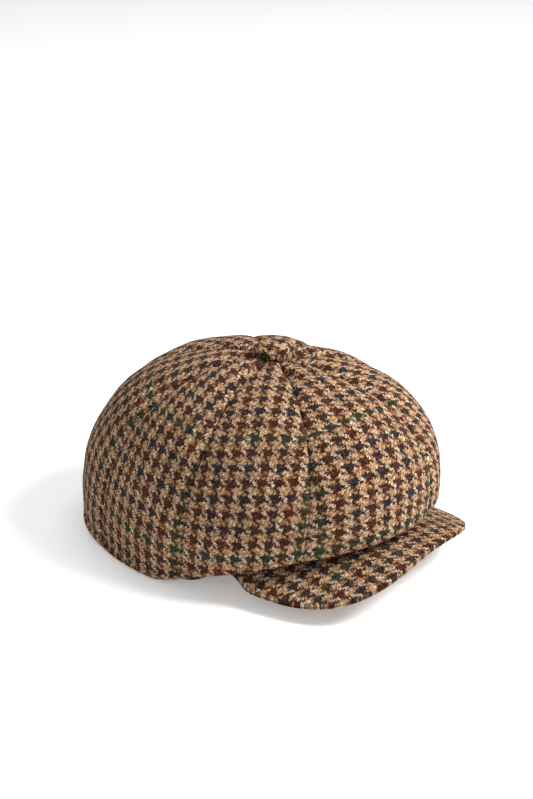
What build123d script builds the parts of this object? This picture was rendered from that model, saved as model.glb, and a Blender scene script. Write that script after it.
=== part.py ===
"""Newsboy cap: eight puffed crown panels on a stiffened headband, with a lining, a visor and a top button.

The face that wears it looks along -Y, +X is the wearer's left and +Z is up. The origin is the middle of
the head opening, on the surface that the cap rests on. Sizes are in millimetres.
"""

from build123d import *
from math import cos, pi, radians, sin, sqrt
import os

os.makedirs("parts", exist_ok=True)

# Head opening: a 58 cm head
head_width = 166.0
head_length = 200.0

# Layers of cloth, from the head outwards
sweatband_thickness = 1.0
stiffener_thickness = 0.8
headband_thickness = 1.7
band_height = 34.0
tweed_thickness = 2.4
lining_thickness = 0.8
lining_gap = 0.3

# Crown
side_overhang = 16.5
end_overhang = 31.5
crown_height = 133.5
widest_height = 35.0
dome_fullness = 2.25
hem_roll = 6.0
wall_margin = 2.0
sewing_gap = 0.15
panel_slices = 4
lean_left = 17.0
lean_forward = 9.5
panel_count = 8
seam_turn = 6.5

# The cap's underside is flat behind, and climbs towards the visor
front_rise = 42.0
rise_overlap = 0.1
rise_power = 1.2
hem_turn_up = 10.0
rise_ends = 95.0
band_rise_begins = 2.0

# Visor
visor_depth = 50.0
visor_wrap = 58.5
visor_flare = 3.5
visor_fullness = 3.2
visor_arch_radius = 158.0
visor_arch_angle = 60.0
visor_slope = 0.08
visor_under_crown = 3.0
visor_cover_thickness = 1.3
visor_board_thickness = 1.6
visor_lining_thickness = 1.1
visor_rim = 3.0
seam_strip_thickness = 0.8
seam_strip_height = 4.5
seam_strip_end = 9.0
seam_gap = 0.6

# Button and its fastening
button_width = 28.5
button_height = 9.0
button_edge = 2.5
button_cloth = 1.2
button_metal = 0.6
button_back_thickness = 0.8
thread_radius = 1.3
thread_clearance = 0.8
stay_width = 30.0
stay_thickness = 0.8
stay_drop = 0.8
knot_radius = 2.6
knot_thickness = 1.4

# Blank labels
label_half_angle = 14.0
label_steps = (2, 4)
label_thickness = 0.4
label_gap = 0.2
size_tab_width = 16.0
size_tab_height = 12.0
size_tab_thickness = 0.4

# Worked out from the sizes above
far = 400.0
stiffener_half_width = head_width / 2 + sweatband_thickness
stiffener_half_length = head_length / 2 + sweatband_thickness
headband_half_width = stiffener_half_width + stiffener_thickness
headband_half_length = stiffener_half_length + stiffener_thickness
band_half_width = headband_half_width + headband_thickness
band_half_length = headband_half_length + headband_thickness
crown_half_width = band_half_width + side_overhang
crown_half_length = band_half_length + end_overhang
visor_thickness = visor_cover_thickness + visor_board_thickness + visor_lining_thickness
visor_top = front_rise - visor_under_crown
visor_half_width = band_half_width + visor_flare
visor_front = band_half_length + visor_depth
visor_corner = band_half_length - visor_wrap
apex_hole_radius = thread_radius + thread_clearance


def room_above(edge_points, lift):
    """Everything over an underside that is drawn from the side, through (y, z) points from back to front."""
    lifted = [(y, z + lift) for y, z in edge_points]
    first, last = lifted[0], lifted[-1]
    with BuildPart() as room:
        with BuildSketch(Plane.YZ):
            with BuildLine():
                Line((far, first[1]), first)
                Spline(*lifted, tangents=[(-1, 0), (-1, 0)])
                Polyline(last, (-far, last[1]), (-far, far), (far, far), (far, first[1]))
            make_face()
        extrude(amount=far, both=True)
    return room.part


def visor_drop(forward):
    """How far the sloping visor lies above its height at the front of the headband."""
    return visor_slope * (band_half_length - forward)


def band_room(lift):
    """Everything over the band's lower edge, which follows the visor's arch round the front."""
    visor_bottom = visor_top - visor_thickness
    arch_drop = band_half_width**2 / (2 * visor_arch_radius)
    on_arch = []
    for forward in (visor_corner, (visor_corner + band_half_length) / 2):
        arch = arch_drop * (1 - (forward / band_half_length) ** 2)
        on_arch.append((-forward, visor_bottom + visor_drop(forward) - arch))
    ends = (-band_half_length - seam_strip_thickness, visor_bottom)
    return room_above([(-band_rise_begins, 0), *on_arch, ends], lift)


def oval_radius(half_width, half_length, angle):
    """Distance from the middle to an oval's edge, at an angle from the front towards the wearer's left."""
    return 1 / sqrt((sin(angle) / half_width) ** 2 + (cos(angle) / half_length) ** 2)


def reach_to_band(angle, z):
    """Distance from the crown's leaning axis out to the headband at height z."""
    start_x, start_y, _ = crown_point(angle, 0, z)
    square = (sin(angle) / band_half_width) ** 2 + (cos(angle) / band_half_length) ** 2
    half = start_x * sin(angle) / band_half_width**2 - start_y * cos(angle) / band_half_length**2
    rest = (start_x / band_half_width) ** 2 + (start_y / band_half_length) ** 2 - 1
    return (sqrt(half**2 - square * rest) - half) / square


def rise_at(angle):
    """Share of the front's rise that the crown's underside has reached at an angle from the front."""
    return max((cos(angle) + rise_overlap) / (1 + rise_overlap), 0) ** rise_power


def underside(angle):
    """Height of the crown's underside at an angle from the front."""
    return front_rise * rise_at(angle)


def crown_point(angle, radius, z):
    """A point of the crown, radius out from its leaning axis at height z."""
    return (
        radius * sin(angle) + lean_left * z / crown_height,
        -radius * cos(angle) - lean_forward * z / crown_height,
        z,
    )


def meridian(angle, inset, first_step=0, last_step=6):
    """Points down the crown from the button's hole to its widest, moved in by inset."""
    reach = oval_radius(crown_half_width, crown_half_length, angle) - inset - apex_hole_radius
    widest = widest_height + (front_rise + hem_roll + wall_margin - widest_height) * rise_at(angle)
    rise = crown_height - inset - widest
    power = 2 / dome_fullness
    steps = [pi / 2 * step / 6 for step in range(first_step, last_step + 1)]
    return [
        crown_point(angle, apex_hole_radius + reach * sin(a) ** power, widest + rise * abs(cos(a)) ** power)
        for a in steps
    ]


def lower_line(angle, inset):
    """Points from the crown's wall round its rolled hem and in to the headband, moved in by inset."""
    reach = oval_radius(crown_half_width, crown_half_length, angle) - inset
    floor = underside(angle) + inset
    roll = hem_roll - inset / 2
    bend = roll * (1 - sqrt(0.5))
    wall_end = crown_point(angle, reach, floor + roll)
    bend_middle = crown_point(angle, reach - bend, floor + bend)
    hem = crown_point(angle, reach - roll, floor)
    turned_up = floor + hem_turn_up * rise_at(angle)
    inner = crown_point(angle, reach_to_band(angle, turned_up) + sewing_gap, turned_up)
    return wall_end, bend_middle, hem, inner


def crown_section(angle, outside, inside):
    """Slice of one layer of the crown, from the button's hole down, round the hem and in to the headband."""
    outwards = (sin(angle), -cos(angle), 0)
    down = (-lean_left / crown_height, lean_forward / crown_height, -1)
    with BuildLine() as outline:
        for inset in (outside, inside):
            dome_points = meridian(angle, inset)
            wall_end, bend_middle, hem, inner = lower_line(angle, inset)
            Spline(*dome_points, tangents=[outwards, down])
            Line(dome_points[-1], wall_end)
            ThreePointArc(wall_end, bend_middle, hem)
            Line(hem, inner)
        Line(meridian(angle, outside)[0], meridian(angle, inside)[0])
        Line(lower_line(angle, outside)[3], lower_line(angle, inside)[3])
    return Face(outline.wire())


def label_section(angle, outside, inside):
    """Slice of a label that lies on the crown's lining."""
    with BuildLine() as outline:
        outer = meridian(angle, outside, *label_steps)
        inner = meridian(angle, inside, *label_steps)
        Spline(*outer)
        Spline(*inner)
        Line(outer[0], inner[0])
        Line(outer[-1], inner[-1])
    return Face(outline.wire())


def panels(name, outside, inside):
    """The panels of one layer of the crown, each lofted from seam to seam."""
    made = []
    for index in range(panel_count):
        shares = [index + step / panel_slices for step in range(panel_slices + 1)]
        angles = [radians(seam_turn + share * 360 / panel_count) for share in shares]
        with BuildPart() as panel:
            loft([crown_section(angle, outside, inside) for angle in angles])
        panel.part.label = f"{name}_{index + 1}"
        made.append(panel.part)
    return made


def oval_band(inner_half_width, inner_half_length, thickness):
    """A layer of the band that stands round the head opening."""
    with BuildPart() as band:
        with BuildSketch(Plane.XY.offset(-hem_roll)):
            Ellipse(inner_half_width + thickness, inner_half_length + thickness)
            Ellipse(inner_half_width, inner_half_length, mode=Mode.SUBTRACT)
        extrude(amount=front_rise + band_height + 2 * hem_roll)
        add(band_room(0), mode=Mode.INTERSECT)
        add(room_above([(0, 0), (-rise_ends, front_rise)], band_height), mode=Mode.SUBTRACT)
    return band.part


def visor_layer(top_depth, bottom_depth):
    """The arched sheet between two depths below the visor's top, drawn from behind and run forwards and down."""
    back = Plane(origin=(0, -visor_corner / 2, visor_drop(visor_corner / 2)), x_dir=(1, 0, 0), z_dir=(0, -1, 0))
    first_angle = 90 - visor_arch_angle
    centre = (0, visor_top - visor_arch_radius)
    with BuildPart() as layer:
        with BuildSketch(back):
            with BuildLine():
                upper = CenterArc(centre, visor_arch_radius - top_depth, first_angle, 2 * visor_arch_angle)
                lower = CenterArc(centre, visor_arch_radius - bottom_depth, first_angle, 2 * visor_arch_angle)
                Line(upper @ 0, lower @ 0)
                Line(upper @ 1, lower @ 1)
            make_face()
        extrude(amount=2 * visor_front, dir=(0, -1, -visor_slope))
    return layer.part


def visor_outline(inset):
    """The visor's plan as an upright block, moved in by inset all round."""
    half_width = visor_half_width - inset
    corner = visor_corner + inset
    length = visor_front - inset - corner
    clear = seam_strip_thickness + seam_gap + inset
    shares = [0, 0.5, 0.85, 1]
    forward = [corner + length * (1 - share**visor_fullness) ** (1 / visor_fullness) for share in shares]
    with BuildPart() as block:
        with BuildSketch(Plane.XY.offset(-visor_arch_radius / 2)):
            with BuildLine():
                for side in (-1, 1):
                    edge = [(side * half_width * share, -reach) for share, reach in zip(shares, forward)]
                    Spline(*edge, tangents=[(side, 0), (0, 1)])
                Line((-half_width, -corner), (half_width, -corner))
            make_face()
            Ellipse(band_half_width + clear, band_half_length + clear, mode=Mode.SUBTRACT)
        extrude(amount=visor_arch_radius)
    return block.part


def dome_slice(radius, height, foot, edge):
    """A round dome's profile as a face on the XZ plane: a short upright edge and an arc over the middle."""
    with BuildSketch(Plane.XZ, mode=Mode.PRIVATE) as profile:
        with BuildLine():
            Spline((0, foot + height), (radius, foot + edge), tangents=[(1, 0), (0, -1)])
            Polyline((radius, foot + edge), (radius, foot), (0, foot), (0, foot + height))
        make_face()
    return profile.sketch


# Crown panels and lining panels
lining_inset = tweed_thickness + lining_gap + lining_thickness
crown_panels = panels("crown_panel", 0, tweed_thickness)
lining_panels = panels("lining_panel", tweed_thickness + lining_gap, lining_inset)
for piece in crown_panels + lining_panels:
    export_step(piece, f"parts/{piece.label}.step")

# Band, from the head outwards
sweatband = oval_band(head_width / 2, head_length / 2, sweatband_thickness)
sweatband.label = "sweatband"
export_step(sweatband, "parts/sweatband.step")

band_stiffener = oval_band(stiffener_half_width, stiffener_half_length, stiffener_thickness)
band_stiffener.label = "band_stiffener"
export_step(band_stiffener, "parts/band_stiffener.step")

headband = oval_band(headband_half_width, headband_half_length, headband_thickness)
headband.label = "headband"
export_step(headband, "parts/headband.step")

# Visor: two covers that meet round a stiff board
board_room = visor_outline(visor_rim)
with BuildPart() as visor_board:
    add(visor_layer(visor_cover_thickness, visor_cover_thickness + visor_board_thickness))
    add(board_room, mode=Mode.INTERSECT)
visor_board.part.label = "visor_board"
export_step(visor_board.part, "parts/visor_board.step")

covers_meet = visor_cover_thickness + visor_board_thickness / 2
with BuildPart() as visor_top_cover:
    add(visor_layer(0, covers_meet))
    add(visor_outline(0), mode=Mode.INTERSECT)
    add(visor_board.part, mode=Mode.SUBTRACT)
visor_top_cover.part.label = "visor_top_cover"
export_step(visor_top_cover.part, "parts/visor_top_cover.step")

with BuildPart() as visor_under_cover:
    add(visor_layer(covers_meet, visor_thickness))
    add(visor_outline(0), mode=Mode.INTERSECT)
    add(visor_board.part, mode=Mode.SUBTRACT)
visor_under_cover.part.label = "visor_under_cover"
export_step(visor_under_cover.part, "parts/visor_under_cover.step")

# The covers' seam allowance, sewn to the front of the headband over the visor's width
with BuildPart() as visor_seam_strip:
    with BuildSketch(Plane.XY.offset(-hem_roll)):
        Ellipse(band_half_width + seam_strip_thickness, band_half_length + seam_strip_thickness)
        Ellipse(band_half_width, band_half_length, mode=Mode.SUBTRACT)
        with Locations((0, -visor_corner - seam_strip_end - far / 2)):
            Rectangle(far, far, mode=Mode.INTERSECT)
    extrude(amount=far / 2)
    add(band_room(0), mode=Mode.INTERSECT)
    add(band_room(seam_strip_height), mode=Mode.SUBTRACT)
visor_seam_strip.part.label = "visor_seam_strip"
export_step(visor_seam_strip.part, "parts/visor_seam_strip.step")

# Button on the apex: back plate, metal shell and cloth cover
apex = crown_point(0, 0, crown_height)
button_plane = Plane(origin=apex)
metal_radius = button_width / 2 - button_cloth
metal_height = button_height - button_cloth
hollow_radius = metal_radius - button_metal
hollow_height = metal_height - button_metal

with BuildPart() as button_back:
    with BuildSketch(button_plane):
        Circle(hollow_radius)
        Circle(apex_hole_radius, mode=Mode.SUBTRACT)
    extrude(amount=button_back_thickness)
button_back.part.label = "button_back"
export_step(button_back.part, "parts/button_back.step")

with BuildPart() as button_metal_form:
    add(dome_slice(metal_radius, metal_height, 0, button_edge))
    revolve(axis=Axis.Z)
    add(dome_slice(hollow_radius, hollow_height, 0, button_edge))
    revolve(axis=Axis.Z, mode=Mode.SUBTRACT)
button_shell = button_metal_form.part.moved(Location(apex))
button_shell.label = "button_shell"
export_step(button_shell, "parts/button_shell.step")

with BuildPart() as button_cloth_form:
    add(dome_slice(button_width / 2, button_height, 0, button_edge))
    revolve(axis=Axis.Z)
    add(dome_slice(metal_radius, metal_height, 0, button_edge))
    revolve(axis=Axis.Z, mode=Mode.SUBTRACT)
button_cover = button_cloth_form.part.moved(Location(apex))
button_cover.label = "button_cover"
export_step(button_cover, "parts/button_cover.step")

# Stay patch inside the apex, and the thread that ties the button down to it
stay_top = crown_height - lining_inset - stay_drop
stay_plane = Plane(origin=(lean_left, -lean_forward, stay_top))
with BuildPart() as crown_stay:
    with BuildSketch(stay_plane):
        Circle(stay_width / 2)
        Circle(apex_hole_radius, mode=Mode.SUBTRACT)
    extrude(amount=-stay_thickness)
crown_stay.part.label = "crown_stay"
export_step(crown_stay.part, "parts/crown_stay.step")

thread_length = crown_height + button_back_thickness + knot_thickness - (stay_top - stay_thickness)
with BuildPart() as button_thread:
    with BuildSketch(stay_plane.offset(-stay_thickness)):
        Circle(thread_radius)
    extrude(amount=thread_length)
    with BuildSketch(stay_plane.offset(-stay_thickness)):
        Circle(knot_radius)
    extrude(amount=-knot_thickness)
    with BuildSketch(button_plane.offset(button_back_thickness)):
        Circle(knot_radius)
    extrude(amount=knot_thickness)
button_thread.part.label = "button_thread"
export_step(button_thread.part, "parts/button_thread.step")

# Blank label on the lining, over the back of the head
label_inset = lining_inset + label_gap
label_angles = [radians(180 + degree) for degree in (-label_half_angle, 0, label_half_angle)]
with BuildPart() as lining_label:
    loft([label_section(angle, label_inset, label_inset + label_thickness) for angle in label_angles])
lining_label.part.label = "lining_label"
export_step(lining_label.part, "parts/lining_label.step")

# Blank size tab on the sweatband, at the back of the head
with BuildPart() as size_tab:
    with BuildSketch(Plane.XY.offset((band_height - size_tab_height) / 2)):
        Ellipse(head_width / 2, head_length / 2)
        Ellipse(head_width / 2 - size_tab_thickness, head_length / 2 - size_tab_thickness, mode=Mode.SUBTRACT)
        with Locations((0, head_length / 2)):
            Rectangle(size_tab_width, head_length / 4, mode=Mode.INTERSECT)
    extrude(amount=size_tab_height)
size_tab.part.label = "size_tab"
export_step(size_tab.part, "parts/size_tab.step")
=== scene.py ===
"""Looks of the newsboy cap: puffed tweed gores, their lining, a covered button, a stiff visor and the band.

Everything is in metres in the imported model's frame: -Y is the way the wearer looks, +X the wearer's left.
Cloth coordinates are metres of cloth as well, so the weave has one size on every piece.
"""

from math import cos, pi, radians, sin

import bpy
import numpy as np
from mathutils import Matrix, Vector


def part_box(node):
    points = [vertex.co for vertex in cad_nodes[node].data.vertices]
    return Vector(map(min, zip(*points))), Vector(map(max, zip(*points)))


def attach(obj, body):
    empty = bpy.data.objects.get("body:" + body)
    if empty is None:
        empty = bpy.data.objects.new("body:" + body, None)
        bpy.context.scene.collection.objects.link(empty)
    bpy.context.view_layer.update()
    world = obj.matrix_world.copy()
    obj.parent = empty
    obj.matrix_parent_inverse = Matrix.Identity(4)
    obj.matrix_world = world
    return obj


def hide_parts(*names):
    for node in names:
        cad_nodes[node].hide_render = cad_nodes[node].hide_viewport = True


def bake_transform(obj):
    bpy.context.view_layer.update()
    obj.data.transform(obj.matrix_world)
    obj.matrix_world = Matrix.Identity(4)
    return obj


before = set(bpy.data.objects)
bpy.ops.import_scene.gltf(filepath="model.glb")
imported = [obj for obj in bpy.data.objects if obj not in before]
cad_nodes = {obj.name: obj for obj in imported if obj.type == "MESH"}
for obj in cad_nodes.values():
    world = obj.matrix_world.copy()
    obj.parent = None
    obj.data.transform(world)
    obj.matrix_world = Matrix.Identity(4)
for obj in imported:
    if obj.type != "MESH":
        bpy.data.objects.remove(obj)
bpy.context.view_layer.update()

# Places read from the frame
band_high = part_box("headband")[1]
band_half_width = band_high.x
band_half_length = band_high.y
button_low, button_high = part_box("button_cover")
crown_height = button_low.z
lean_left = (button_low.x + button_high.x) / 2
lean_forward = -(button_low.y + button_high.y) / 2
visor_low, visor_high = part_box("visor_top_cover")
visor_half_width = visor_high.x
visor_front = -visor_low.y
visor_corner = -visor_high.y

# Crown, as the CAD shapes it
panel_count = 8
half_gore = pi / panel_count
seam_turn = radians(6.5)
side_overhang = 0.0165
end_overhang = 0.0315
widest_height = 0.035
dome_power = 2 / 2.25
hem_roll = 0.006
wall_margin = 0.002
front_rise = 0.042
rise_overlap = 0.1
rise_power = 1.2
hem_turn_up = 0.010
hole_radius = 0.0021
sewing_gap = 0.0002

# Rows of points down a gore and columns across it
dome_rows = 92
wall_rows = 26
roll_rows = 12
turn_rows = 14
gore_columns = 61
edge_crowding = 0.94
gore_fill = 0.9985

# How the crown's cloth puffs, sinks and folds: depths, then where and how far they reach
cloth_thickness = 0.0007
lining_depth = 0.0034
lining_thickness = 0.0006
floor_gap = 0.0002
puff = 0.0024
puff_base = 0.0007
puff_reach = 0.05
puff_fullness = 1.5
seam_sink = 0.0020
seam_roll = 0.0015
seam_start = 0.004
seam_run_in = 0.012
apex_puff = 0.0012
apex_puff_at = 0.030
apex_puff_reach = 0.016
apex_hollow = 0.0034
apex_hollow_at = 0.024
apex_hollow_length = 0.0065
apex_hollow_width = 0.0036
slump_at = 0.038
slump_reach = 0.024
hem_crease = 0.0011
hem_crease_height = 0.0075
hem_crease_width = 0.0022
hem_crease_end = 0.35
ripple = 0.0008
ripple_start = 0.03
ripple_waves = ((0.085, 0.5), (0.060, 0.4), (0.043, 0.3), (0.030, 0.2), (0.021, 0.12))
ripple_ways = 3
ripple_total = 1.7
ripple_seed = 7
wall_tuck = 0.0042
wall_tuck_height = 0.034
wall_tuck_end = 0.5
corner_lift = 0.0010
corner_lift_at = radians(75)
corner_lift_width = radians(7.5)

# Each gore in turn, from the front round by the wearer's left: how far its green line runs from its middle,
# and how far it slumps beside the button. The green row is this far down every gore from the button
green_columns = [0.031, -0.036, 0.027, -0.030, 0.034, 0.036, -0.041, -0.039]
slumps = [0.0034, 0.0020, 0.0006, 0, 0, 0, 0, 0.0016]
green_row = 0.089

# Label in the lining at the back
label_rows = slice(31, 62)
label_columns = 25
label_half_turn = radians(14)
label_thickness = 0.0004
label_gap = 0.0001

# Tweed: four light and four dark threads, and wool that wanders, in threads
thread = 0.0013
group_middle = thread * 2
threads_in_check = 8
checks_in_overcheck = 8
flecks_in_thread = 2.6
wander_scale, wander_threads = 950.0, 2.7
drift_scale, drift_threads = 130.0, 2.0
fibre_tight, fibre_loose = 1.4, 0.42
fibre_contrast = 0.85
stray_scale, stray_share = 1250.0, 0.4
cloud_scale, cloud_share = 26.0, 0.22
tweed_relief = 0.0007

# Visor
visor_arch_radius = 0.158
visor_slope = 0.08
visor_fullness = 3.2
visor_clear = 0.0014
visor_top = visor_high.z + visor_slope * visor_clear
visor_depth = 0.050
visor_cover = 0.0013
visor_board = 0.0016
visor_under = 0.0011
visor_rim = 0.003
visor_gap = 0.0001
visor_rows = 34
visor_columns = 121
curve_points = 400
edge_width = 0.0032
top_edge_fall = 0.0010
under_edge_rise = 0.0004
corner_round = 0.55
corner_reach = 0.065
visor_sag = 0.0002
sag_across, sag_along, sag_start = 210, 160, 0.8
visor_cloth_turn = radians(4)
visor_green_across = -0.0122
visor_green_along = 0.1201

# Button
button_rows = 30
button_columns = 97
button_overturn = 1.02
button_side_power = 0.85
button_top_power = 0.5
button_fill = 0.985
button_lining = (0.94, 0.94, 0.88)
button_spread = 1.25
button_cloth_at = (0.040, 0.045)
pleat_depth = 0.028
pleat_start = 0.72
pleats, pleat_wander = 18, 5
button_tip = radians(2)
button_tip_axis = (0.80, 0.60, 0)

# Light and camera
floor_size = 12
floor_glow = 0.26
world_glow = 0.38
aim = Vector((0, 0, 0.05))
azimuth, elevation = radians(-53.4), radians(25.7)
distance = 1.35
lens = 85.5
film_width = 36
look_right, look_up = 0.0123, 0.048


def smooth(share):
    """0 to 1 with no corner at either end."""
    share = np.clip(share, 0, 1)
    return share * share * (3 - 2 * share)


def bell(distance, width):
    """1 in the middle, falling to nothing within a few widths."""
    return np.exp(-((distance / width) ** 2))


# ---------------------------------------------------------------- materials


class Nodes:
    """A material's node tree, written as plain calls that each return an output socket."""

    def __init__(self, name):
        self.material = bpy.data.materials.new(name)
        self.material.use_nodes = True
        self.tree = self.material.node_tree
        self.shader = self.tree.nodes["Principled BSDF"]

    def put(self, socket, value):
        if isinstance(value, bpy.types.NodeSocket):
            self.tree.links.new(value, socket)
        elif value is not None:
            socket.default_value = value

    def math(self, operation, first, second=None):
        node = self.tree.nodes.new("ShaderNodeMath")
        node.operation = operation
        self.put(node.inputs[0], first)
        self.put(node.inputs[1], second)
        return node.outputs[0]

    def plus(self, first, second):
        return self.math("ADD", first, second)

    def minus(self, first, second):
        return self.math("SUBTRACT", first, second)

    def times(self, first, second):
        return self.math("MULTIPLY", first, second)

    def swing(self, value, reach):
        """A noise's value turned from 0 .. 1 into one that swings both ways, reach in all."""
        return self.times(self.minus(value, 0.5), reach)

    def hump(self, value):
        """Rises and falls once between each whole number and the next."""
        return self.math("SINE", self.times(self.math("FRACT", value), pi))

    def choose(self, share, first, second):
        """First where the share is 0 and second where it is 1."""
        return self.plus(self.times(second, share), self.times(first, self.minus(1.0, share)))

    def mix(self, share, first, second, blend="MIX"):
        node = self.tree.nodes.new("ShaderNodeMix")
        node.data_type = "RGBA"
        node.blend_type = blend
        self.put(node.inputs[0], share)
        self.put(node.inputs[6], first)
        self.put(node.inputs[7], second)
        return node.outputs[2]

    def ramp(self, share, low, high):
        node = self.tree.nodes.new("ShaderNodeMapRange")
        self.put(node.inputs["Value"], share)
        self.put(node.inputs["From Min"], low)
        self.put(node.inputs["From Max"], high)
        return node.outputs[0]

    def uv(self):
        node = self.tree.nodes.new("ShaderNodeUVMap")
        node.uv_map = "cloth"
        return self.parts(node.outputs[0])[:2]

    def place(self):
        return self.tree.nodes.new("ShaderNodeTexCoord").outputs["Object"]

    def parts(self, vector):
        node = self.tree.nodes.new("ShaderNodeSeparateXYZ")
        self.put(node.inputs[0], vector)
        return tuple(node.outputs)

    def vector(self, x, y, z=0.0):
        node = self.tree.nodes.new("ShaderNodeCombineXYZ")
        for socket, value in zip(node.inputs, (x, y, z)):
            self.put(socket, value)
        return node.outputs[0]

    def noise(self, where, scale, detail=3.0, roughness=0.5):
        node = self.tree.nodes.new("ShaderNodeTexNoise")
        self.put(node.inputs["Vector"], where)
        node.inputs["Scale"].default_value = scale
        node.inputs["Detail"].default_value = detail
        node.inputs["Roughness"].default_value = roughness
        return node.outputs[0]

    def random(self, where):
        node = self.tree.nodes.new("ShaderNodeTexWhiteNoise")
        self.put(node.inputs["Vector"], where)
        return node.outputs[0]

    def bump(self, height, distance, strength):
        node = self.tree.nodes.new("ShaderNodeBump")
        node.inputs["Strength"].default_value = strength
        node.inputs["Distance"].default_value = distance
        self.put(node.inputs["Height"], height)
        self.put(self.shader.inputs["Normal"], node.outputs[0])

    def finish(self, color, roughness, sheen=0.0, metallic=0.0, specular=0.5):
        self.put(self.shader.inputs["Base Color"], color)
        self.put(self.shader.inputs["Roughness"], roughness)
        self.shader.inputs["Metallic"].default_value = metallic
        self.shader.inputs["Sheen Weight"].default_value = sheen
        self.shader.inputs["Sheen Roughness"].default_value = 0.5
        self.shader.inputs["Specular IOR Level"].default_value = specular
        return self.material


def linear(channel):
    """A screen's 0 to 255 as the linear value that shaders take."""
    share = channel / 255
    return share / 12.92 if share < 0.04 else ((share + 0.055) / 1.055) ** 2.4


def tone(red, green, blue):
    """A colour given as it looks on a screen."""
    return linear(red), linear(green), linear(blue), 1.0


def yarn(nodes, index, along, seed, light_low, light_high):
    """Colour of the thread with this number: four dark, four light, and every eighth dark group green."""
    fleck_at = nodes.math("FLOOR", nodes.times(along, flecks_in_thread))
    fleck = nodes.random(nodes.vector(index, fleck_at, seed))
    light = nodes.mix(fleck, light_low, light_high)
    rust = nodes.mix(fleck, tone(20, 9, 7), tone(98, 46, 24))
    charcoal = nodes.mix(fleck, tone(8, 6, 7), tone(54, 50, 53))
    green = nodes.mix(fleck, tone(8, 24, 16), tone(44, 74, 50))
    in_check = nodes.math("FLOORED_MODULO", index, threads_in_check)
    is_light = nodes.math("GREATER_THAN", in_check, threads_in_check / 2 - 0.5)
    check = nodes.math("FLOOR", nodes.math("DIVIDE", index, threads_in_check))
    is_charcoal = nodes.math("LESS_THAN", nodes.math("FLOORED_MODULO", check, 2.0), 0.5)
    is_green = nodes.math("LESS_THAN", nodes.math("FLOORED_MODULO", check, checks_in_overcheck), 0.5)
    dark = nodes.mix(is_green, nodes.mix(is_charcoal, rust, charcoal), green)
    return nodes.mix(is_light, dark, light)


def tweed():
    """Houndstooth in a 2/2 twill: the thread on top depends on the warp's number less the weft's."""
    nodes = Nodes("tweed")
    place = nodes.place()
    across, along = nodes.uv()
    wander = nodes.swing(nodes.noise(place, wander_scale, 2.0, 0.6), wander_threads)
    drift = nodes.swing(nodes.noise(place, drift_scale, 2.0), drift_threads)
    x = nodes.plus(nodes.plus(nodes.math("DIVIDE", across, thread), wander), drift)
    y = nodes.minus(nodes.plus(nodes.math("DIVIDE", along, thread), drift), wander)
    warp, weft = nodes.math("FLOOR", x), nodes.math("FLOOR", y)
    over = nodes.math("FLOORED_MODULO", nodes.minus(warp, weft), 4.0)
    warp_on_top = nodes.math("LESS_THAN", over, 1.5)
    warp_color = yarn(nodes, warp, y, 0.3, tone(150, 98, 54), tone(232, 214, 188))
    weft_color = yarn(nodes, weft, x, 7.7, tone(122, 74, 38), tone(204, 166, 126))
    color = nodes.mix(warp_on_top, weft_color, warp_color)

    # Wool fibres run along whichever thread is on top, and a few pale ones stray over it
    on_warp = nodes.vector(nodes.times(x, fibre_tight), nodes.times(y, fibre_loose))
    on_weft = nodes.vector(nodes.times(x, fibre_loose), nodes.times(y, fibre_tight), 9.0)
    warp_fibre, weft_fibre = (nodes.noise(where, 1.0, 2.0, 0.7) for where in (on_warp, on_weft))
    fibre = nodes.choose(warp_on_top, weft_fibre, warp_fibre)
    fibre_color = nodes.mix(nodes.ramp(fibre, 0.40, 0.60), tone(30, 24, 20), tone(246, 242, 238))
    color = nodes.mix(fibre_contrast, color, fibre_color, "OVERLAY")
    stray = nodes.ramp(nodes.noise(place, stray_scale, 1.0), 0.60, 0.78)
    color = nodes.mix(nodes.times(stray, stray_share), color, tone(196, 188, 178))
    color = nodes.mix(nodes.times(nodes.noise(place, cloud_scale), cloud_share), color, tone(70, 48, 32))

    weave = nodes.choose(warp_on_top, nodes.hump(y), nodes.hump(x))
    nodes.bump(nodes.plus(nodes.times(weave, 0.6), nodes.times(fibre, 0.7)), tweed_relief, 0.8)
    return nodes.finish(color, 0.95, sheen=0.02, specular=0.06)


def woven(name, base, other, pitch, roughness, sheen=0.0, depth=0.0002):
    """A plain fine cloth: small crossing ribs, slightly uneven colour."""
    nodes = Nodes(name)
    place = nodes.place()
    x, y, z = nodes.parts(place)
    level = nodes.math("SINE", nodes.times(z, 2 * pi / pitch))
    slant = nodes.math("SINE", nodes.times(nodes.plus(x, y), 2 * pi / pitch))
    rib = nodes.times(level, slant)
    unevenness = nodes.plus(nodes.times(rib, 0.2), nodes.noise(place, 60.0))
    nodes.bump(rib, depth, 0.6)
    return nodes.finish(nodes.mix(nodes.ramp(unevenness, 0.2, 0.8), base, other), roughness, sheen)


def smooth_sheet(name, base, other, dullness, metallic=0.0):
    """A plastic or metal sheet with faint scuffs, which are its rougher spots."""
    nodes = Nodes(name)
    scuff = nodes.noise(nodes.place(), 300.0, 5.0, 0.7)
    nodes.bump(scuff, 0.0001, 0.3)
    color = nodes.mix(nodes.ramp(scuff, 0.35, 0.7), base, other)
    return nodes.finish(color, nodes.ramp(scuff, -dullness, 2.0), metallic=metallic)


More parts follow.
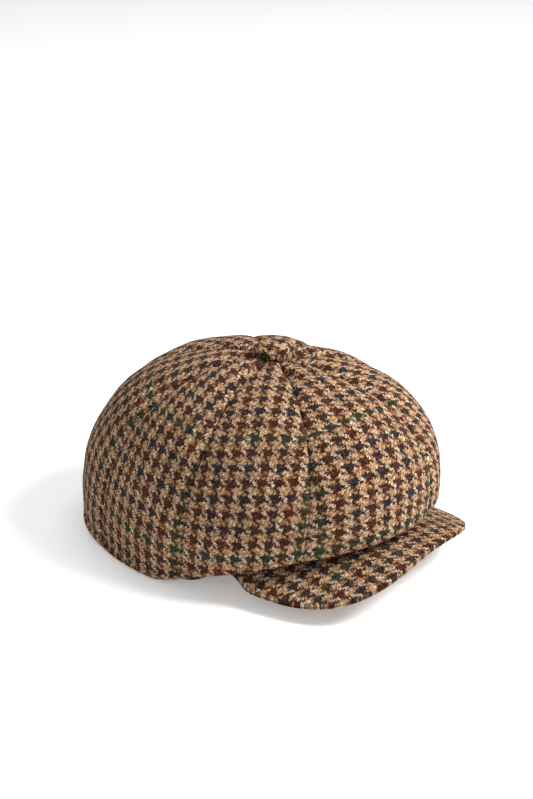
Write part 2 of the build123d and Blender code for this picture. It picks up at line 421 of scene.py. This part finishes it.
looks = {
    "tweed": tweed(),
    "satin_lining": woven("satin_lining", tone(96, 66, 46), tone(120, 86, 60), 0.0006, 0.34, depth=0.00005),
    "sweatband_cotton": woven("sweatband_cotton", tone(44, 36, 32), tone(66, 56, 50), 0.0011, 0.85, 0.2),
    "stiffener_buckram": woven("stiffener_buckram", tone(206, 200, 184), tone(226, 222, 208), 0.0018, 0.9),
    "visor_board": smooth_sheet("visor_board", tone(48, 48, 50), tone(60, 60, 62), 0.45),
    "button_tin": smooth_sheet("button_tin", tone(176, 176, 172), tone(204, 204, 200), 0.35, metallic=1.0),
    "thread": woven("thread", tone(78, 56, 40), tone(104, 78, 56), 0.0009, 0.8),
    "blank_label": woven("blank_label", tone(214, 206, 184), tone(232, 226, 208), 0.0008, 0.6),
}

# ---------------------------------------------------------------- meshes


def mesh_piece(name, points, faces, look, uvs, smooth_shaded=True):
    """A piece with its look, and its cloth coordinates where it has any."""
    mesh = bpy.data.meshes.new(name)
    mesh.from_pydata([tuple(p) for p in points], [], faces)
    mesh.polygons.foreach_set("use_smooth", [smooth_shaded] * len(mesh.polygons))
    if uvs is not None:
        layer = mesh.uv_layers.new(name="cloth")
        index = np.zeros(len(mesh.loops), int)
        mesh.loops.foreach_get("vertex_index", index)
        layer.data.foreach_set("uv", np.asarray(uvs)[index].astype(np.float32).ravel())
    mesh.materials.append(looks[look])
    piece = bpy.data.objects.new(name, mesh)
    bpy.context.scene.collection.objects.link(piece)
    return piece


def grid_normals(grid):
    """Unit normals of a grid of points, by the differences along its rows and columns."""
    normal = np.cross(np.gradient(grid, axis=0), np.gradient(grid, axis=1))
    return normal / np.maximum(np.linalg.norm(normal, axis=2, keepdims=True), 1e-12)


def closed_sheet(name, upper, lower, uv, look):
    """A closed piece between two grids of the same size: two faces and the four edges that join them."""
    rows, columns = upper.shape[:2]
    count = rows * columns
    faces = []
    for row in range(rows - 1):
        for column in range(columns - 1):
            a = row * columns + column
            b, c, d = a + 1, a + columns + 1, a + columns
            faces.append((a, b, c, d))
            faces.append((count + d, count + c, count + b, count + a))
    rim = [*range(columns)]
    rim += [row * columns + columns - 1 for row in range(1, rows)]
    rim += [(rows - 1) * columns + column for column in range(columns - 2, -1, -1)]
    rim += [row * columns for row in range(rows - 2, 0, -1)]
    for here, there in zip(rim, rim[1:] + rim[:1]):
        faces.append((there, here, count + here, count + there))
    points = np.concatenate([upper.reshape(-1, 3), lower.reshape(-1, 3)])
    flat = uv.reshape(-1, 2)
    return mesh_piece(name, points, faces, look, np.concatenate([flat, flat]))


# ---------------------------------------------------------------- crown


def crown_piece(name, upper, lower, uv, look, node):
    """A closed sheet that moves with the crown and stands in for a CAD node."""
    piece = closed_sheet(name, upper, lower, uv, look)
    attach(piece, "crown")
    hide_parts(node)


def oval_reach(angle, half_width, half_length):
    """Distance from the middle of an oval to its edge."""
    return 1 / np.sqrt((np.sin(angle) / half_width) ** 2 + (np.cos(angle) / half_length) ** 2)


def crown_outline(angle):
    """Radius and height down the crown: dome, wall, rolled hem and in to the headband. Then the height of
    its underside, and the share of the front's rise that it has reached."""
    reach = oval_reach(angle, band_half_width + side_overhang, band_half_length + end_overhang)
    rise = np.maximum((np.cos(angle) + rise_overlap) / (1 + rise_overlap), 0) ** rise_power
    from_front = np.abs((angle + pi) % (2 * pi) - pi)
    widest = widest_height + (front_rise + hem_roll + wall_margin - widest_height) * rise
    under = front_rise * rise + corner_lift * bell(from_front - corner_lift_at, corner_lift_width)

    a = np.linspace(0, pi / 2, dome_rows)[:, None]
    radius = [hole_radius + (reach - hole_radius) * np.sin(a) ** dome_power]
    height = [widest + (crown_height - widest) * np.abs(np.cos(a)) ** dome_power]
    share = np.linspace(0, 1, wall_rows + 1)[1:, None]
    radius.append(reach + 0 * share)
    height.append(widest + (under + hem_roll - widest) * share)
    a = np.linspace(0, pi / 2, roll_rows + 1)[1:, None]
    radius.append(reach - hem_roll * (1 - np.cos(a)))
    height.append(under + hem_roll * (1 - np.sin(a)))
    share = np.linspace(0, 1, turn_rows + 1)[1:, None]
    end_height = np.maximum(under, (front_rise + hem_turn_up) * rise)
    lean = (lean_left * np.sin(angle) + lean_forward * np.cos(angle)) * end_height / crown_height
    inner = oval_reach(angle, band_half_width, band_half_length) + sewing_gap - lean
    radius.append(reach - hem_roll + (inner - reach + hem_roll) * share)
    height.append(under + (end_height - under) * share)
    return np.concatenate(radius), np.concatenate(height), under, rise


def crown_grid(angle):
    """Points and outward normals of the unpuffed crown, and what crown_outline gives."""
    radius, height, under, rise = crown_outline(angle)
    grid = np.stack([
        radius * np.sin(angle) + lean_left * height / crown_height,
        -radius * np.cos(angle) - lean_forward * height / crown_height,
        height,
    ], axis=2)
    return grid, grid_normals(grid), radius, height, under, rise


def ripples(grid):
    """Soft unevenness of the cloth: waves in many directions, one field for the whole crown."""
    total = np.zeros(grid.shape[:2])
    draws = np.random.default_rng(ripple_seed)
    for wavelength, share in ripple_waves:
        for _ in range(ripple_ways):
            way = draws.normal(size=3)
            way /= np.linalg.norm(way)
            wave = np.sin(2 * pi * (grid @ way) / wavelength + draws.uniform(0, 2 * pi))
            total += share * wave / ripple_total
    return total


def gore_cloth(share, along, radius, green_column):
    """Cloth coordinates of a gore laid flat, with its green lines where they are wanted."""
    dome_length = along[dome_rows - 1]
    lateral = share * half_gore
    turned = np.minimum(along / dome_length, 1) * pi / 2
    bent = np.arctan2(np.sin(turned) * np.cos(lateral), np.cos(turned)) * 2 / pi * dome_length
    down = np.where(along < dome_length, bent, along)
    return np.stack([radius * lateral - green_column, down - green_row], axis=2) + group_middle


def crown_gore(index):
    """One gore: puffed between its seams, sunk along them, hollow by the button and rolled at the hem.
    The lining under it follows only the folds that go deep."""
    share = np.sin(np.linspace(-pi / 2, pi / 2, gore_columns) * edge_crowding) / sin(pi / 2 * edge_crowding)
    angle = seam_turn + (2 * index + 1) * half_gore + share * half_gore * gore_fill
    grid, normal, radius, height, under, rise = crown_grid(angle[None, :])
    share = share[None, :]
    steps = np.linalg.norm(np.diff(grid, axis=0), axis=2)
    along = np.concatenate([np.zeros((1, gore_columns)), np.cumsum(steps, axis=0)])
    to_seam = (1 - np.abs(share)) * half_gore * radius
    fade = np.linspace(1, 0, roll_rows + 1)[1:]
    on_top = np.concatenate([np.ones(dome_rows + wall_rows), fade, np.zeros(turn_rows)])[:, None]

    low_down = smooth(1 - (height - under) / wall_tuck_height)
    tuck = wall_tuck * low_down * (1 - smooth(rise / wall_tuck_end)) * on_top
    near_button = bell(along - apex_hollow_at, apex_hollow_length)
    hollow = apex_hollow * near_button * bell(to_seam, apex_hollow_width)
    slump = slumps[index] * bell(along - slump_at, slump_reach) * on_top
    folds = tuck + hollow + slump

    swell = smooth(along / puff_reach) * np.sqrt(np.maximum(1 - share**2, 0)) ** puff_fullness
    seam = np.exp(-to_seam / seam_roll) * smooth((along - seam_start) / seam_run_in)
    at_crease = bell(height - under - hem_crease_height, hem_crease_width)
    crease = at_crease * (1 - smooth(rise / hem_crease_end))
    uneven = ripples(grid) * smooth(along / ripple_start)
    relief = puff * swell - puff_base - seam_sink * seam - hem_crease * crease + ripple * uneven
    crest = apex_puff * bell(along - apex_puff_at, apex_puff_reach) * (1 - np.abs(share) ** 3)

    outer = grid + normal * (relief * on_top + crest - folds)[:, :, None]
    outer[:, :, 2] = np.maximum(outer[:, :, 2], floor_gap)
    inner = outer - normal * cloth_thickness
    uv = gore_cloth(share, along, radius, green_columns[index])
    crown_piece(f"crown_gore_{index + 1}", outer, inner, uv, "tweed", f"crown_panel_{index + 1}")
    lining_top = grid - normal * (lining_depth + folds)[:, :, None]
    lining_bottom = lining_top - normal * lining_thickness
    crown_piece(f"lining_gore_{index + 1}", lining_top, lining_bottom, uv, "satin_lining",
                f"lining_panel_{index + 1}")


def label():
    """A blank label that lies on the lining at the back."""
    angle = (pi + np.linspace(-1, 1, label_columns) * label_half_turn)[None, :]
    grid, normal = [part[label_rows] for part in crown_grid(angle)[:2]]
    top = grid - normal * (lining_depth + lining_thickness + label_gap)
    bottom = top - normal * label_thickness
    crown_piece("label_cloth", top, bottom, grid[:, :, :2], "blank_label", "lining_label")


for index in range(panel_count):
    crown_gore(index)
label()

# ---------------------------------------------------------------- visor


def bends_with_visor(piece, node):
    """The piece stands in for a CAD node, which is hidden, and its placement is baked into its points."""
    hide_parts(node)
    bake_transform(piece)


def even_steps(curve, count):
    """A curve's points, spread evenly along its length."""
    steps = np.linalg.norm(np.diff(curve, axis=0), axis=1)
    length = np.concatenate([[0], np.cumsum(steps)])
    places = np.linspace(0, length[-1], count)
    return np.stack([np.interp(places, length, curve[:, axis]) for axis in range(curve.shape[1])], axis=1)


def visor_plan(inset):
    """x, y of a grid over the visor, rows from its sewn edge out, moved in by inset all round."""
    half_width = visor_half_width - inset
    corner = visor_corner + inset
    front = visor_front - inset
    turn = np.linspace(0, pi / 2, curve_points)
    side = np.stack([half_width * np.sin(turn) ** (2 / visor_fullness),
                     corner + (front - corner) * np.cos(turn) ** (2 / visor_fullness)], axis=1)
    outer = even_steps(np.concatenate([side[::-1] * (-1, 1), side[1:]]), visor_columns)
    clear_width = band_half_width + visor_clear + inset
    clear_length = band_half_length + visor_clear + inset
    last = np.arccos(corner / clear_length)
    turn = np.linspace(-last, last, curve_points)
    inner = np.stack([clear_width * np.sin(turn), clear_length * np.cos(turn)], axis=1)
    inner = even_steps(inner, visor_columns)
    from_start = np.linspace(0, 1, visor_columns)
    from_end = np.minimum(from_start, from_start[::-1])
    outer += (inner - outer) * corner_round * smooth(1 - from_end / corner_reach)[:, None]
    share = np.sin(np.linspace(0, pi / 2, visor_rows))[:, None, None]
    plan = inner + (outer - inner) * share
    return plan[:, :, 0], -plan[:, :, 1], share[:, :, 0]


def visor_height(x, y):
    """Top of the visor: an arch that slopes gently forwards."""
    arch = visor_arch_radius - np.sqrt(visor_arch_radius**2 - x * x)
    return visor_top + visor_slope * (band_half_length + y) - arch


def visor_cloth(x, y):
    """Cloth coordinates on the visor, unrolled from its arch and turned a little."""
    across = visor_arch_radius * np.arcsin(x / visor_arch_radius)
    u = across * cos(visor_cloth_turn) - y * sin(visor_cloth_turn)
    v = -across * sin(visor_cloth_turn) - y * cos(visor_cloth_turn)
    return np.stack([u - visor_green_across, v - visor_green_along], axis=2) + group_middle


def visor_layer(name, node, top, bottom, look, inset=0.0, top_fall=0.0, bottom_rise=0.0, sag=0.0):
    """One layer, from top to bottom below the visor's face, with its faces curved at the free edge."""
    x, y, share = visor_plan(inset)
    face = visor_height(x, y)
    edge = np.maximum(1 - (1 - share) * visor_depth / edge_width, 0)
    curl = 1 - np.sqrt(np.maximum(1 - edge**2, 0))
    waves = sag * np.sin(x * sag_across + sag_start) * np.sin(y * sag_along) * (1 - edge)
    upper = np.stack([x, y, face - top - top_fall * curl + waves], axis=2)
    lower = np.stack([x, y, face - bottom + bottom_rise * curl], axis=2)
    bends_with_visor(closed_sheet(name, upper, lower, visor_cloth(x, y), look), node)


# The two covers close on each other in front of the board
board_top = visor_cover
board_bottom = visor_cover + visor_board
closing = (visor_board + visor_gap) / 2
visor_layer("visor_top_cloth", "visor_top_cover", 0, board_top - visor_gap, "tweed",
            top_fall=top_edge_fall, bottom_rise=-closing, sag=visor_sag)
visor_layer("visor_core", "visor_board", board_top, board_bottom, "visor_board", inset=visor_rim)
visor_layer("visor_under_cloth", "visor_under_cover", board_bottom + visor_gap, board_bottom + visor_under,
            "tweed", top_fall=-closing, bottom_rise=under_edge_rise)

# ---------------------------------------------------------------- button


def button():
    """Cloth drawn over a domed button, gathered in small pleats at its lower edge and tipped a little."""
    radius = (button_high.x - button_low.x) / 2
    height = button_high.z - button_low.z
    turn = np.linspace(0, 2 * pi, button_columns)[None, :]
    share = np.linspace(0, 1, button_rows)[:, None]
    bend = share * pi / 2 * button_overturn
    gathered = smooth((share - pleat_start) / (1 - pleat_start))
    pleat = 1 + pleat_depth * gathered * np.sin(turn * pleats + np.sin(turn * pleat_wander))
    out = radius * np.sin(bend) ** button_side_power * pleat * button_fill
    up = height * np.maximum(np.cos(bend), 0) ** button_top_power
    outer = np.stack([out * np.sin(turn), out * np.cos(turn), up + 0 * turn], axis=2)
    spread = radius * share * button_spread
    uv = np.stack([spread * np.sin(turn), spread * np.cos(turn)], axis=2) + button_cloth_at
    tip = np.array(Matrix.Rotation(button_tip, 3, Vector(button_tip_axis))).T
    place = np.array([lean_left, -lean_forward, button_low.z])
    inner = outer * button_lining
    crown_piece("button_cloth", outer @ tip + place, inner @ tip + place, uv, "tweed", "button_cover")


button()

# ---------------------------------------------------------------- band, and the parts shown as they are


def bending_copy(node, name, look, cloth=False):
    """The CAD node's own shape as a new piece that stands in for it."""
    source = cad_nodes[node].data
    points = np.zeros(len(source.vertices) * 3)
    source.vertices.foreach_get("co", points)
    points = points.reshape(-1, 3)
    faces = [tuple(p.vertices) for p in source.polygons]
    turn = np.arctan2(points[:, 0], -points[:, 1])
    around = turn * (band_half_width + band_half_length) / 2
    uvs = np.stack([around, points[:, 2]], axis=1) if cloth else None
    bends_with_visor(mesh_piece(name, points, faces, look, uvs, smooth_shaded=False), node)


bending_copy("headband", "band_cloth", "tweed", cloth=True)
bending_copy("visor_seam_strip", "visor_seam", "tweed", cloth=True)
bending_copy("band_stiffener", "band_core", "stiffener_buckram")
bending_copy("sweatband", "band_lining", "sweatband_cotton")

shown = {"button_back": "button_tin", "button_shell": "button_tin", "crown_stay": "stiffener_buckram",
         "button_thread": "thread", "size_tab": "blank_label"}
for node, look in shown.items():
    cad_nodes[node].data.materials.clear()
    cad_nodes[node].data.materials.append(looks[look])

# ---------------------------------------------------------------- floor, light and camera

scene = bpy.context.scene
scene.view_settings.view_transform = "Standard"

floor_nodes = Nodes("floor")
floor_nodes.shader.inputs["Emission Color"].default_value = (1, 1, 1, 1)
floor_nodes.shader.inputs["Emission Strength"].default_value = floor_glow
floor_material = floor_nodes.finish(tone(250, 250, 250), 0.9)
bpy.ops.mesh.primitive_plane_add(size=floor_size, location=(0, 0, 0))
floor = bpy.context.object
floor.name = "floor"
floor.data.materials.append(floor_material)

world = bpy.data.worlds.new("studio")
world.use_nodes = True
world.node_tree.nodes["Background"].inputs["Color"].default_value = (1, 1, 1, 1)
world.node_tree.nodes["Background"].inputs["Strength"].default_value = world_glow
scene.world = world

back = Vector((sin(azimuth) * cos(elevation), -cos(azimuth) * cos(elevation), sin(elevation)))
camera_right = Vector((cos(azimuth), sin(azimuth), 0))
camera_up = back.cross(camera_right)


def lamp(name, right, up, behind, size, power):
    """A soft square lamp aimed at the cap, placed by the camera's right, the world's up and the way back."""
    data = bpy.data.lights.new(name, "AREA")
    data.size = size
    data.energy = power
    light = bpy.data.objects.new(name, data)
    level = Vector((back.x, back.y, 0)).normalized()
    light.location = aim + camera_right * right + Vector((0, 0, up)) + level * behind
    light.rotation_mode = "QUATERNION"
    light.rotation_quaternion = (light.location - aim).to_track_quat("Z", "Y")
    scene.collection.objects.link(light)


lamp("key", 1.25, 1.2, 0.1, 0.6, 38)
lamp("front_fill", -0.5, 0.9, 1.4, 1.2, 3)
lamp("top", 0.1, 1.6, -0.6, 1.2, 10)

camera_data = bpy.data.cameras.new("camera")
camera_data.lens = lens
camera_data.sensor_width = film_width
camera = bpy.data.objects.new("camera", camera_data)
camera.rotation_mode = "QUATERNION"
camera.location = aim + back * distance
look_at = aim + camera_right * look_right + camera_up * look_up
camera.rotation_quaternion = (camera.location - look_at).to_track_quat("Z", "Y")
scene.collection.objects.link(camera)
scene.camera = camera
